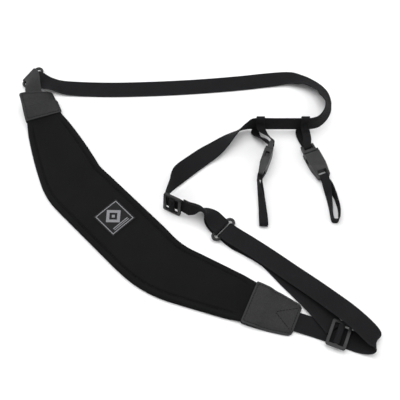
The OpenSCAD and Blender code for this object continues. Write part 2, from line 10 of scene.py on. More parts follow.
import bmesh
import bpy
import numpy as np
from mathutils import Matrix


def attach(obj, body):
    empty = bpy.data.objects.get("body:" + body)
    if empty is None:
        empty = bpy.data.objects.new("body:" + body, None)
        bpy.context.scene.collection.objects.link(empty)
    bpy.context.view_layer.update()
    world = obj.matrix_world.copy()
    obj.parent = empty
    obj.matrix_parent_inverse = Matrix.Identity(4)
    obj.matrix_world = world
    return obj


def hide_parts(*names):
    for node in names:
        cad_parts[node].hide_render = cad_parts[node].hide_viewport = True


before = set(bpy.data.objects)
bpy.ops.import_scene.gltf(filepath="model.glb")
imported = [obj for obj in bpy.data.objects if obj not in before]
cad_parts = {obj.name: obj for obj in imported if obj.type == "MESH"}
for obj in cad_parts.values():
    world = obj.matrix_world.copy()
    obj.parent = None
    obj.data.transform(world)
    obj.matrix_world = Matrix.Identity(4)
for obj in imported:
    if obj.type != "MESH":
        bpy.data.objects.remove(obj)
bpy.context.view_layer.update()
MM = 0.001
print("nodes in the frame:", len(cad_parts))

# %% [markdown]
# ## The camera
# The strap lies on a table and is seen from well above its near edge. A long lens from 85 cm away
# keeps the far webbing almost as large as the near pad, as a catalogue view does.

# %% Camera
def add_camera(place, tilt, lens):
    """A camera at place, tipped up from straight down by tilt degrees about X."""
    data = bpy.data.cameras.new("camera")
    data.lens = lens
    data.sensor_width = 36
    camera = bpy.data.objects.new("camera", data)
    camera.location = place
    camera.rotation_euler = (math.radians(tilt), 0, 0)
    bpy.context.scene.collection.objects.link(camera)
    bpy.context.scene.camera = camera
    return camera


camera = add_camera((0.090, -0.386, 0.743), 29, 72.9)
print("camera at", tuple(round(c, 3) for c in camera.location))

# %% [markdown]
# ## Floor and studio light
# A pale sweep under a large soft light gives black cloth its form without hard shadows. Two lower
# lights from the sides graze the surfaces, so that weave and grain show.

# %% Light
def add_light(name, place, size, power):
    """A square area light at place that faces the middle of the strap."""
    data = bpy.data.lights.new(name, "AREA")
    data.size = size
    data.energy = power
    light = bpy.data.objects.new(name, data)
    light.location = place
    aim = np.array([0.09, 0.03, 0.0]) - np.array(place)
    flat = math.hypot(aim[0], aim[1])
    light.rotation_euler = (math.atan2(flat, -aim[2]), 0, math.atan2(aim[1], aim[0]) - math.pi / 2)
    bpy.context.scene.collection.objects.link(light)
    return light


add_light("top_light", (0.05, 0.25, 1.3), 1.2, 13)
add_light("left_light", (-1.0, 0.5, 0.6), 0.6, 6)
add_light("right_light", (1.1, -0.2, 0.7), 0.6, 3.5)
world = bpy.data.worlds.new("studio")
bpy.context.scene.world = world
world.use_nodes = True
world.node_tree.nodes["Background"].inputs["Color"].default_value = (1, 1, 1, 1)
world.node_tree.nodes["Background"].inputs["Strength"].default_value = 0.55
bpy.context.scene.view_settings.view_transform = "Standard"

# %% [markdown]
# ## Writing a finish as sums
# A material is a graph of small nodes. Wiring each one by hand hides what it works out, so one class
# wraps a socket: arithmetic on it adds Math nodes, and any other node comes from one method.

# %% Wire
class Wire:
    """A socket of a material. Arithmetic on it adds Math nodes, and node() adds any other."""

    def __init__(self, tree, socket=None):
        self.tree = tree
        self.socket = socket

    def node(self, kind, settings=None, sockets=None, output=0):
        """A new node: its settings first, then a value or a link for each socket named or numbered."""
        made = self.tree.nodes.new(kind)
        for key, value in (settings or {}).items():
            if key == "stops":
                ramp = made.color_ramp.elements
                while len(ramp) < len(value):
                    ramp.new(0.5)
                for stop, (place, colour) in zip(ramp, value):
                    stop.position = place
                    stop.color = (*colour, 1) if hasattr(colour, "__len__") else (colour,) * 3 + (1,)
            else:
                setattr(made, key, value)
        for key, value in (sockets or {}).items():
            if isinstance(value, Wire):
                self.tree.links.new(value.socket, made.inputs[key])
            else:
                made.inputs[key].default_value = value
        return Wire(self.tree, made.outputs[output])

    def maths(self, operation, *values):
        """A Math node of that operation on the values."""
        return self.node("ShaderNodeMath", {"operation": operation}, dict(enumerate(values)))

    def __add__(self, other):
        return self.maths("ADD", self, other)

    def __sub__(self, other):
        return self.maths("SUBTRACT", self, other)

    def __rsub__(self, other):
        return self.maths("SUBTRACT", other, self)

    def __mul__(self, other):
        return self.maths("MULTIPLY", self, other)

    def __truediv__(self, other):
        return self.maths("DIVIDE", self, other)

    __radd__ = __add__
    __rmul__ = __mul__


def mixed(dark, light, share):
    """Colour between two colours, by a share from 0 to 1."""
    return share.node("ShaderNodeMix", {"data_type": "RGBA"},
                      {0: share, 6: (*dark, 1), 7: (*light, 1)}, output=2)


def noise(wire, where, scale, detail=3.0, rough=0.6):
    """Smooth random value, about 0 to 1, with its largest lumps 1 / scale across."""
    return wire.node("ShaderNodeTexNoise", None,
                     {"Vector": where, "Scale": scale, "Detail": detail, "Roughness": rough})


def new_finish(name, steady):
    """A material and a wire into it; steady holds the shader's own unchanging values."""
    material = bpy.data.materials.new(name)
    material.use_nodes = True
    shader = material.node_tree.nodes["Principled BSDF"]
    for key, value in steady.items():
        shader.inputs[key].default_value = value
    return material, Wire(material.node_tree), shader


def connect(wire, shader, colour, roughness, height, depth):
    """Links colour and roughness, and a height of 0 to 1 that stands depth metres proud, as bump."""
    links = wire.tree.links
    links.new(colour.socket, shader.inputs["Base Color"])
    links.new(roughness.socket, shader.inputs["Roughness"])
    bump = wire.node("ShaderNodeBump", None, {"Strength": 0.9, "Distance": depth, "Height": height})
    links.new(bump.socket, shader.inputs["Normal"])


# %% [markdown]
# ## Woven webbing
# Strap webbing is woven with thick warp yarns along it. Each weft crosses over one yarn and under the
# next, so neighbouring columns are half a stitch out of step. The pattern follows the strip's own
# lengthwise and crosswise millimetres, kept in its UV map, so it bends with the strip.

# %% Webbing finish
def cloth_place(wire):
    """Millimetres across and along a strip, from its UV map."""
    place = wire.node("ShaderNodeUVMap", {"uv_map": "cloth"})
    split = {"Vector": place}
    return (place.node("ShaderNodeSeparateXYZ", None, split, output=0),
            place.node("ShaderNodeSeparateXYZ", None, split, output=1))


def weave_height(across, along, yarn, pick):
    """Height of a plain weave: |sin| across each yarn times |sin| along it, every other yarn half a
    pick out of step."""
    column = across.maths("FLOOR", across / yarn)
    round_yarn = across.maths("ABSOLUTE", across.maths("SINE", across * (math.pi / yarn)))
    step = (along / pick + column * 0.5) * math.pi
    round_pick = along.maths("ABSOLUTE", along.maths("SINE", step))
    return across.maths("POWER", round_yarn, 0.6) * (0.35 + 0.65 * round_pick)


def webbing_finish(name, half_width, yarn, pick, dark, light):
    """Black woven webbing with painted shade in the weave's valleys, specks of lint and a slightly worn
    selvedge.
    """
    material, wire, shader = new_finish(name, {"Specular IOR Level": 0.05})
    across, along = cloth_place(wire)
    height = weave_height(across, along, yarn, pick)
    where = wire.node("ShaderNodeTexCoord", output=3)
    blotch = noise(wire, where, 60.0)
    lint = noise(wire, where, 900.0, 2.0)
    edge = wire.maths("SMOOTH_MAX", wire.maths("ABSOLUTE", across) / half_width - 0.86, 0.0, 0.02) * 5.0
    # height paints the yarn tops lighter and the valleys between them darker: painted shade; blotch, lint and
    # the worn selvedge are the cloth's own tone
    share = wire.maths("MINIMUM", height * 0.5 + blotch * 0.3 + edge * 0.3 + lint * 0.15 - 0.12, 1.0)
    colour = mixed(dark, light, share)
    connect(wire, shader, colour, 0.66 + 0.2 * blotch - 0.08 * height, height + lint * 0.25, 0.00025)
    return material


webbing = webbing_finish("webbing", 10.0, 1.15, 1.5, (0.0040, 0.0040, 0.0043), (0.023, 0.023, 0.025))
narrow_webbing = webbing_finish("narrow_webbing", 4.5, 0.8, 1.0,
                                (0.0040, 0.0040, 0.0043), (0.024, 0.024, 0.026))
print("webbing finishes:", webbing.name, narrow_webbing.name)

# %% [markdown]
# ## Stretch cover, leather, plastic and thread
# The pad's cover is a fine knitted jersey over foam. The ends are an embossed synthetic leather, made
# here from a cell pattern with creases. The fittings are moulded acetal: nearly smooth, with a faint
# mould texture and rubbed patches. Sewing thread is twisted, which a slanted stripe shows.

# %% Other finishes
def cover_finish():
    """Knitted jersey: tiny rows of loops with painted shade between them, soft lighter rubbing and lint."""
    material, wire, shader = new_finish("cover", {"Specular IOR Level": 0.06})
    across, along = cloth_place(wire)
    loops = weave_height(across, along, 0.62, 0.8)
    where = wire.node("ShaderNodeTexCoord", output=3)
    rubbed = noise(wire, where, 28.0, 4.0)
    lint = noise(wire, where, 1400.0, 1.0)
    # loops paints the tops of the loops lighter and the gaps between them darker: painted shade; rubbed and
    # lint are the cover's own tone
    share = loops * 0.35 + rubbed * 0.45 + lint * 0.25 - 0.2
    colour = mixed((0.0030, 0.0030, 0.0032), (0.0150, 0.0150, 0.0155), wire.maths("MAXIMUM", share, 0.0))
    connect(wire, shader, colour, 0.72 + 0.18 * rubbed, loops + lint * 0.3, 0.00016)
    return material


def leather_finish():
    """Embossed leather: raised cells with painted shade in the creases between them, greyer where the rim is
    rubbed.
    """
    material, wire, shader = new_finish("leather", {"Specular IOR Level": 0.24})
    where = wire.node("ShaderNodeTexCoord", output=3)
    bent = where.node("ShaderNodeVectorMath", {"operation": "MULTIPLY_ADD"},
                      {0: noise(wire, where, 160.0), 1: (0.0022,) * 3, 2: where})
    grain = wire.node("ShaderNodeTexVoronoi", {"feature": "DISTANCE_TO_EDGE"},
                      {"Vector": bent, "Scale": 820.0})
    cell = wire.maths("MINIMUM", grain * 3.2, 1.0)
    fine = noise(wire, where, 2600.0, 2.0)
    cloud = noise(wire, where, 45.0, 4.0)
    rim = wire.node("ShaderNodeAttribute", {"attribute_name": "rim"}, output=2)
    # cell paints the raised cells lighter and the creases darker: painted shade; cloud is random tone and rim
    # the rubbed rim
    share = cell * 0.3 + cloud * 0.5 + rim * 0.4 - 0.12
    colour = mixed((0.011, 0.011, 0.0115), (0.044, 0.044, 0.046), wire.maths("MINIMUM", share, 1.0))
    connect(wire, shader, colour, 0.62 - 0.16 * cell + 0.14 * cloud, cell + 0.3 * fine, 0.0002)
    return material


def plastic_finish():
    """Moulded acetal: faint mould grain and smoother, paler rubbed patches."""
    material, wire, shader = new_finish("acetal", {"Specular IOR Level": 0.34})
    where = wire.node("ShaderNodeTexCoord", output=3)
    mould = noise(wire, where, 1800.0, 2.0)
    rubbed = noise(wire, where, 110.0, 4.0)
    patch = wire.maths("SMOOTH_MIN", wire.maths("MAXIMUM", rubbed * 3.0 - 1.35, 0.0), 1.0, 0.2)
    colour = mixed((0.009, 0.009, 0.0095), (0.026, 0.026, 0.027), patch * 0.6 + mould * 0.25)
    connect(wire, shader, colour, 0.46 - 0.1 * patch + 0.1 * mould, mould, 0.00004)
    return material


def thread_finish():
    """Twisted sewing thread: a slanted stripe round each stitch, painted lighter on its ridges and darker in
    its grooves as painted shade.
    """
    material, wire, shader = new_finish("thread", {"Specular IOR Level": 0.12})
    across, along = cloth_place(wire)
    twist = 0.5 + 0.5 * wire.maths("SINE", along * 9.0 + across * 6.0)
    where = wire.node("ShaderNodeTexCoord", output=3)
    fuzz = noise(wire, where, 2400.0, 2.0)
    # twist paints the ridges lighter and the grooves darker: painted shade; fuzz is random tone
    colour = mixed((0.0025, 0.0025, 0.0028), (0.012, 0.012, 0.013), twist * 0.6 + fuzz * 0.4)
    connect(wire, shader, colour, 0.6 + 0.2 * fuzz, twist, 0.0001)
    return material


cover = cover_finish()
leather = leather_finish()
acetal = plastic_finish()
thread = thread_finish()
print("finishes so far:", len(bpy.data.materials))

# %% [markdown]
# ## Floor
# A plain pale table top, not part of the strap.

# %% Floor
def add_floor():
    """A wide flat plane just under the table height, with a pale matt finish."""
    mesh = bpy.data.meshes.new("floor")
    mesh.from_pydata([(-4, -4, -1e-4), (4, -4, -1e-4), (4, 6, -1e-4), (-4, 6, -1e-4)], [], [(0, 1, 2, 3)])
    floor = bpy.data.objects.new("floor", mesh)
    bpy.context.scene.collection.objects.link(floor)
    material = bpy.data.materials.new("floor")
    material.use_nodes = True
    shader = material.node_tree.nodes["Principled BSDF"]
    shader.inputs["Base Color"].default_value = (0.87, 0.87, 0.875, 1)
    shader.inputs["Roughness"].default_value = 0.9
    mesh.materials.append(material)
    return floor


add_floor()

# %% [markdown]
# ## Sheets with a cut edge
# Webbing and leather are sheets: a middle surface, a thickness, and a rounded cut edge. One function
# turns a grid of middle points into such a sheet, whatever way it bends.

# %% Sheet builder
def unit(v):
    """Vectors along the last axis, each made one long."""
    return v / np.maximum(np.linalg.norm(v, axis=-1, keepdims=True), 1e-12)


def smooth(x):
    """Smooth step: 0 below 0, 1 above 1, and 3x^2 - 2x^3 between."""
    c = np.clip(x, 0, 1)
    return c * c * (3 - 2 * c)


def new_piece(name, points, faces, uv, finish):
    """A smooth mesh object; uv holds one pair of millimetres for each corner of each face."""
    mesh = bpy.data.meshes.new(name)
    mesh.from_pydata(points.tolist(), [], faces)
    layer = mesh.uv_layers.new(name="cloth")
    layer.data.foreach_set("uv", np.asarray(uv, np.float32).ravel())
    mesh.materials.append(finish)
    mesh.shade_smooth()
    mesh.validate()
    piece = bpy.data.objects.new(name, mesh)
    bpy.context.scene.collection.objects.link(piece)
    return piece


def cloth(name, mid, thick, finish, closed=False):
    """A sheet of that thickness round the grid mid (rows along, columns across), in millimetres.
    Its edge is a half circle: the half thickness at a distance d inside the rim is
    sqrt(1 - (1 - d / half)^2) of the full one."""
    n, m = mid.shape[:2]
    across = np.pad(np.cumsum(np.linalg.norm(np.diff(mid, axis=1), axis=2), 1), ((0, 0), (1, 0)))
    after = np.roll(mid, -1, 0) if closed else mid[1:]
    steps = np.linalg.norm(after - mid[:len(after)], axis=2).mean(1)
    along = np.concatenate([[0], np.cumsum(steps)])
    rim = np.minimum(across, across[:, -1:] - across)
    if not closed:
        rim = np.minimum(rim, np.minimum(along, along[-1] - along)[:, None])
    run = (np.roll(mid, -1, 0) - np.roll(mid, 1, 0)) if closed else np.gradient(mid, axis=0)
    normal = unit(np.cross(run, np.gradient(mid, axis=1)))
    share = np.sqrt(1 - (1 - np.clip(rim / (thick / 2), 0, 1)) ** 2)[..., None]
    lift = normal * share * thick / 2
    top = np.arange(n * m).reshape(n, m)
    shared = rim <= 1e-9
    bottom = np.where(shared, top, 0)
    bottom[~shared] = n * m + np.arange((~shared).sum())
    points = np.concatenate([(mid + lift).reshape(-1, 3), (mid - lift)[~shared]])
    i, j = np.meshgrid(np.arange(len(steps)), np.arange(m - 1), indexing="ij")
    i, j = i.ravel(), j.ravel()
    k = (i + 1) % n
    corner = [(i, j, i), (k, j, i + 1), (k, j + 1, i + 1), (i, j + 1, i)]
    middle = across - across[:, -1:] / 2
    above = np.stack([top[a, b] for a, b, _ in corner], 1)
    below = np.stack([bottom[a, b] for a, b, _ in corner[::-1]], 1)
    uv = np.stack([np.stack([middle[a, b], along[c]], 1) for a, b, c in corner], 1)
    piece = new_piece(name, points * MM, np.concatenate([above, below]).tolist(),
                      np.concatenate([uv, uv[:, ::-1]]), finish)
    worn = np.exp(-rim / 1.2)
    edge = piece.data.attributes.new("rim", "FLOAT", "POINT")
    edge.data.foreach_set("value", np.concatenate([worn.ravel(), worn[~shared]]).astype(np.float32))
    area = np.linalg.norm(np.cross(np.diff(mid, axis=0)[:, :-1], np.diff(mid, axis=1)[:-1]), axis=2).sum()
    piece["length"], piece["width"], piece["area"] = along[-1], across[:, -1].max(), area
    return piece


def columns(width, edge, middle=9):
    """Places across a strip, close together near both cut edges and even between them."""
    close = edge * np.array([0, 0.06, 0.2, 0.45, 0.8])
    half = width / 2
    return np.concatenate([close - half, np.linspace(1.3 * edge - half, half - 1.3 * edge, middle),
                           half - close[::-1]])


def declare(piece, body, stands_for=()):
    """Puts a sheet on its body and hides the frame's parts it stands for; the size it was cut to is worked
    out but not used.
    """
    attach(piece, body)
    if stands_for:
        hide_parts(*stands_for)
    width, length = max(piece["width"] * MM, 0.0101), max(piece["length"] * MM, 0.0101)
    area = min(max(piece["area"] * MM * MM, 0.31 * width * length), width * length)
    return piece


# %% [markdown]
# ## Strips along a route
# A strap's route is a list of sections: its centre, the direction across it and the direction through
# it. Rows give the centre and how the width is turned; a smooth curve goes through all of them.

# %% Routes
def heading(a):
    """Level unit vector a degrees round from +X."""
    return np.array([math.cos(math.radians(a)), math.sin(math.radians(a)), 0.0])


Z = np.array([0.0, 0.0, 1.0])


def filled(rows, steps=3):
    """Rows with points between them on the curve that passes through all of them."""
    rows = np.array(rows, float)
    a = np.concatenate([rows[:1], rows[:-1]])[:-1]
    b, c = rows[:-1], rows[1:]
    d = np.concatenate([rows[2:], rows[-1:]])
    t = (np.arange(steps) / steps)[None, :, None]
    a, b, c, d = (x[:, None] for x in (a, b, c, d))
    made = b + 0.5 * t * (c - a + t * (2 * a - 5 * b + 4 * c - d + t * (3 * (b - c) + d - a)))
    return np.concatenate([made.reshape(-1, 5), rows[-1:]])


def sections(rows):
    """Centre, across and through for rows of x, y, z, heading and tilt of the width."""
    centre = rows[:, :3]
    ends = np.concatenate([centre[:1], centre, centre[-1:]])
    run = unit(ends[2:] - ends[:-2])
    turn, tilt = np.radians(rows[:, 3]), np.radians(rows[:, 4])
    raw = np.stack([np.cos(turn) * np.cos(tilt), np.sin(turn) * np.cos(tilt), np.sin(tilt)], 1)
    across = unit(raw - (raw * run).sum(1, keepdims=True) * run)
    return np.stack([centre, across, np.cross(run, across)], 1)


def lifted(strip, lift):
    """The strip moved through its thickness by lift(k), k running from 0 to 1 along it."""
    k = np.linspace(0, 1, len(strip))[:, None]
    moved = strip.copy()
    moved[:, 0] += strip[:, 2] * lift(k)
    return moved


def reversed_strip(strip):
    """The same strip travelled the other way."""
    return strip[::-1] * np.array([1, 1, -1])[None, :, None]


def u_turn(c, t, across, r, side, steps=12):
    """Half turn of radius r round a bar at c, leaving along t."""
    up = np.cross(t, across)
    a = np.linspace(0, math.pi, steps + 1)[:, None]
    centre = c + up * side * r * np.cos(a) + t * r * np.sin(a)
    through = up * np.cos(a) + t * side * np.sin(a)
    return np.stack([centre, np.broadcast_to(across, centre.shape), through], 1)


def fine(strip, step, closed=False):
    """The strip at even small steps, on cubic curves through its sections."""
    extra = 3 if closed else 0
    if closed:
        strip = np.concatenate([strip[-extra:], strip, strip[:extra + 1]])
    along = np.concatenate([[0], np.cumsum(np.linalg.norm(np.diff(strip[:, 0], axis=0), axis=1))])
    slope = np.gradient(strip, along, axis=0)
    low, high = along[extra], along[-1 - extra]
    at = np.linspace(low, high, int((high - low) / step) + 2)
    at = at[:-1] if closed else at
    i = np.clip(np.searchsorted(along, at, side="right") - 1, 0, len(along) - 2)
    gap = (along[i + 1] - along[i])[:, None, None]
    k = ((at - along[i]) / (along[i + 1] - along[i]))[:, None, None]
    made = (strip[i] * (2 * k ** 3 - 3 * k ** 2 + 1) + slope[i] * gap * (k ** 3 - 2 * k ** 2 + k)
            + strip[i + 1] * (3 * k ** 2 - 2 * k ** 3) + slope[i + 1] * gap * (k ** 3 - k ** 2))
    made[:, 1:] = unit(made[:, 1:])
    return made


def strap(name, strip, width, thick, finish, closed=False, step=1.0):
    """A woven strip of that width and thickness along its sections."""
    run = fine(strip, step, closed)
    mid = run[:, None, 0] + run[:, None, 1] * columns(width, thick / 2)[None, :, None]
    return cloth(name, mid, thick, finish, closed), run


WEB_W, WEB_T, LOOP_W, LOOP_T = 20.0, 1.4, 9.0, 1.2
HALF_GAP = 7.6 / 2
RING_TURN = 3.2 / 2 + 0.7 + 0.15
LIE = 0.9
print("strip tools ready")

# %% [markdown]
# ## Stitches
# A sewn line shows as separate stitches: short twisted bumps, each a little sunk at both ends. All the
# stitches of one seam are one mesh, made from one small spindle placed many times.

# %% Stitch builder
def stitches(name, path, normal, body, long=2.3, gap=0.8, thick=0.55, sink=0.06):
    """Stitches along a path of closely spaced points, lying on the surface with those normals."""
    far = np.concatenate([[0], np.cumsum(np.linalg.norm(np.diff(path, axis=0), axis=1))])
    count = max(int((far[-1] + gap) / (long + gap)), 1)
    at = (np.arange(count) + 0.5) * (far[-1] / count)
    pick = lambda values, where: np.stack([np.interp(where, far, values[:, c]) for c in range(3)], 1)
    centre = pick(path, at)
    run = unit(pick(path, np.minimum(at + 0.6, far[-1])) - pick(path, np.maximum(at - 0.6, 0)))
    out = unit(pick(normal, at))
    side = unit(np.cross(out, run))
    x = np.array([-0.5, -0.4, -0.15, 0.15, 0.4, 0.5])
    size = np.array([0.3, 0.8, 1.0, 1.0, 0.8, 0.3])
    arch = np.cos(math.pi * x * 0.9) * 0.24 - sink
    turn = np.arange(6) * math.pi / 3
    lengthwise = np.repeat(x * long, 6)
    sideways = (size[:, None] * np.cos(turn) * thick / 2).ravel()
    upwards = (arch[:, None] + size[:, None] * np.sin(turn) * thick / 2).ravel()
    points = (centre[:, None] + run[:, None] * lengthwise[None, :, None]
              + side[:, None] * sideways[None, :, None] + out[:, None] * upwards[None, :, None])
    i, j = (g.ravel() for g in np.meshgrid(np.arange(5), np.arange(6), indexing="ij"))
    walls = np.stack([i * 6 + j, i * 6 + (j + 1) % 6, (i + 1) * 6 + (j + 1) % 6, (i + 1) * 6 + j], 1)[:, ::-1]
    offset = np.arange(count) * 36
    faces = (walls[None] + offset[:, None, None]).reshape(-1, 4).tolist()
    faces += (np.arange(6)[None] + offset[:, None]).tolist()
    faces += (np.arange(35, 29, -1)[None] + offset[:, None]).tolist()
    spot = np.stack([np.tile(turn, 6), lengthwise], 1)
    uv = np.concatenate([spot[np.array(f) % 36] for f in faces])
    piece = new_piece(name, points.reshape(-1, 3) * MM, faces, uv, thread)
    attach(piece, body)
    return piece


def strip_path(run, start, stop, aside, thick):
    """Points and normals on the upper side of a strip, from start to stop mm, aside from its middle."""
    far = np.concatenate([[0], np.cumsum(np.linalg.norm(np.diff(run[:, 0], axis=0), axis=1))])
    at = np.linspace(start, stop, 60) if stop != start else np.full(60, start)
    aside = np.linspace(*aside, 60) if hasattr(aside, "__len__") else np.full(60, aside)
    pick = lambda c: np.stack([np.interp(at, far, run[:, c, a]) for a in range(3)], 1)
    centre, across, through = pick(0), pick(1), pick(2)
    out = through * np.sign(through[:, 2:].sum() or 1.0)
    return centre + across * aside[:, None] + out * thick / 2, out


# %% [markdown]
# ## The shape of the pad
# The pad is a comfort pad that sits on the neck: straight in the middle and curved to both wings, so it
# follows the shoulders. Its left wing rolls up a little where the strap lifts it. Every piece of the
# pad and both ends use one rule for a place on it: along, in from the inner edge, and up.

# %% Pad rule
PAD_W, PAD_T, CROWN = 67.0, 6.0, 0.8
STRAIGHT, TUCK, ROLL = 52.0, 14.0, 28.0
BEND_R, BEND, WING = (64.0, 102.0), (18.4, 23.0), (80.0, 74.0)
END_L, BASE_W, TIP_W = (32.0, 50.0), (41.0, 46.0), (40.0, 33.0)
NARROWING, ROUNDING = (1.9, 1.3), (1.0, 1.8)
ARC = tuple(r * math.radians(b) for r, b in zip(BEND_R, BEND))
BASE = tuple(STRAIGHT + a + w for a, w in zip(ARC, WING))
LEATHER_T = 1.2
END_TOP = LEATHER_T + WEB_T + 1.2
END_MID = LEATHER_T + 0.1 + WEB_T / 2
ROLL_START = BASE[0] - 19.5


def sided(s, pair):
    """The left or right one of a pair, by the sign of s."""
    return np.where(s < 0, pair[0], pair[1])


def half_width(s):
    """Half the pad's width at s: full in the middle, then narrowing by a power of the distance."""
    q, base, w, start = np.abs(s), sided(s, BASE), sided(s, BASE_W), STRAIGHT * 0.8
    share = np.clip((q - start) / (base - start), 0, None)
    past = np.clip((q - base) / sided(s, END_L), 0, None)
    wing = PAD_W - (PAD_W - w) * share ** sided(s, NARROWING)
    return np.where(q < base, wing, w - (w - sided(s, TIP_W)) * past ** sided(s, ROUNDING)) / 2


def on_pad(s, d, z):
    """The place s along, d in from the inner edge and z up, the left wing rolled about that edge."""
    s, d, z = np.broadcast_arrays(*(np.asarray(v, float) for v in (s, d, z)))
    q, r, bend = np.abs(s), sided(s, BEND_R), np.radians(sided(s, BEND))
    a = np.clip((q - STRAIGHT) / r, 0, bend)
    rest = np.clip(q - STRAIGHT - sided(s, ARC), 0, None)
    k = np.where(s < 0, -1.0, 1.0)
    x = k * (np.minimum(q, STRAIGHT) + r * np.sin(a) + rest * np.cos(a))
    y = r * (1 - np.cos(a)) + rest * np.sin(a)
    rolled = smooth((-s - ROLL_START) / (BASE[0] + END_L[0] - ROLL_START))
    roll = np.where(s < 0, math.radians(ROLL) * rolled, 0)
    out = half_width(s) - d * np.cos(roll) + z * np.sin(roll)
    x, y = x - out * np.sin(k * a), y + out * np.cos(k * a)
    c, n = math.cos(math.radians(-46)), math.sin(math.radians(-46))
    return np.stack([x * c - y * n, x * n + y * c, d * np.sin(roll) + z * np.cos(roll)], -1)


def end_blend(s):
    """0 over most of the pad, and 1 where it runs on inside the leather."""
    return smooth((np.abs(s) - sided(s, BASE) + 16) / 16)


# %% [markdown]
# ## The pad
# Foam is wrapped in knitted cloth and sewn through close to the rim. The seam pulls the foam down into
# a shallow channel, with small puckers between the stitches. The section is drawn as a ring of points
# from the underside round both rounded sides, and repeated along the pad.

# %% Pad
SEAM = 6.6


def pad_height(s, d):
    """Height of the top: rounded towards both sides, crowned, and drawn down along the seam."""
    h = half_width(s)
    side = np.minimum(d, 2 * h - d)
    e = end_blend(s)
    low, high = 1.5 * e, PAD_T + (END_TOP - PAD_T) * e
    round_side = np.sqrt(1 - (1 - np.clip(side / ROUND_SIDE, 0, 1)) ** 2.2)
    u = (d - h) / h
    crown = (CROWN * (1 - 2 * u * u)) * (1 - e) * smooth(side / 6)
    pucker = 1 + 0.35 * np.cos(2 * math.pi * s / 3.1)
    channel = CHANNEL * pucker * np.exp(-((side - SEAM) / CHANNEL_W) ** 2) * (1 - e)
    soft = 0.22 * np.sin(s / 23 + 1.3) * np.sin(d / 17 + s / 61) + 0.08 * np.sin(s / 7.1 + d / 9.3)
    return low + (high - low) * round_side + crown - channel + (soft - 0.25) * (1 - e) * smooth(side / 6)


# how far in the round side reaches, and the depth and half width of the seam's channel
ROUND_SIDE, CHANNEL, CHANNEL_W = 3.0, 1.15, 1.1
# distances in from a side: close together round the rim and again at the seam
NEAR = np.array([0, 0.12, 0.4, 0.9, 1.6, 2.5, 3.6, 4.6, 5.3, 5.9, 6.3, 6.6, 6.9, 7.3, 7.9, 8.7, 9.8])


def build_pad():
    """The padded body: a ring of points at each station, joined and closed at both ends."""
    s = np.linspace(-BASE[0] - TUCK, BASE[1] + TUCK, 420)[:, None]
    h, e = half_width(s), end_blend(s)
    inset = 0.8 * e
    near = NEAR[None]
    share = np.linspace(0, 1, 13)[None, 1:-1]
    left, right = near + inset, 2 * h - near[:, ::-1] - inset
    inner = left[:, -1:] + (right[:, :1] - left[:, -1:]) * share
    over = np.concatenate([left, inner, right], 1)
    height = pad_height(s, np.concatenate([near + 0 * h, inner, 2 * h - near[:, ::-1]], 1))
    under = over[:, 1:-1][:, ::-1][:, ::2]
    drop = np.minimum(under - inset, 2 * h - inset - under)
    floor_z = 1.5 * e + 1.1 * (1 - np.sqrt(1 - (1 - np.clip(drop / 1.1, 0, 1)) ** 2)) * 0.9
    waist = 0.42 * (PAD_T + (END_TOP - PAD_T) * e - 1.5 * e) + 1.5 * e
    height[:, :1], height[:, -1:] = waist, waist
    height[:, 1:6] = np.maximum(height[:, 1:6], waist)
    height[:, -6:-1] = np.maximum(height[:, -6:-1], waist)
    ring = np.concatenate([on_pad(s, over, height), on_pad(s, under, floor_z)], 1)
    n, m = ring.shape[:2]
    round_it = np.concatenate([[0], np.cumsum(np.linalg.norm(np.diff(ring[n // 2], axis=0), axis=1))])
    round_it = np.append(round_it, round_it[-1] + np.linalg.norm(ring[n // 2, 0] - ring[n // 2, -1]))
    i, j = (g.ravel() for g in np.meshgrid(np.arange(n - 1), np.arange(m), indexing="ij"))
    k = (j + 1) % m
    faces = np.stack([i * m + j, (i + 1) * m + j, (i + 1) * m + k, i * m + k], 1)[:, ::-1]
    uv = np.stack([np.stack([round_it[b], s[a, 0]], 1)
                   for a, b in ((i, j), (i + 1, j), (i + 1, j + 1), (i, j + 1))], 1)[:, ::-1]
    faces = faces.tolist() + [list(range(m)), list(range(n * m - 1, (n - 1) * m - 1, -1))]
    uv = np.concatenate([uv.reshape(-1, 2), np.zeros((2 * m, 2))])
    return new_piece("pad", ring.reshape(-1, 3) * MM, faces, uv, cover)


def outward(piece):
    """Turns the piece's faces outward."""
    made = bmesh.new()
    made.from_mesh(piece.data)
    bmesh.ops.recalc_face_normals(made, faces=made.faces)
    made.to_mesh(piece.data)
    made.free()


pad = build_pad()
outward(pad)
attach(pad, "strap")
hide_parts("pad_cover", "pad_foam", "pad_lining")
print("pad faces:", len(pad.data.polygons))


def surface_path(place, a, b):
    """Points and outward normals of the surface place(a, b) along a path of its two parameters."""
    points = place(a, b)
    normal = unit(np.cross(place(a + 0.05, b) - points, place(a, b + 0.05) - points))
    return points, normal * np.sign(normal[:, 2:])


def pad_top(s, d):
    """A place on top of the pad."""
    return on_pad(s, d, pad_height(s, d))


for side_name, far in (("inner", False), ("outer", True)):
    along = np.linspace(-BASE[0] + 2.5, BASE[1] - 2.5, 1500)
    aside = 2 * half_width(along) - SEAM if far else np.full_like(along, SEAM)
    stitches("pad_seam_" + side_name, *surface_path(pad_top, along, aside), "strap", thick=0.6)

# %% [markdown]
# ## The label
# A small woven label is sewn flat on the middle of the pad. It is a generic badge: a pale woven frame
# round a black ground with a hollow lozenge and two stripes, and no words.

# %% Label
LABEL_W, LABEL_T = 31.0, 0.6


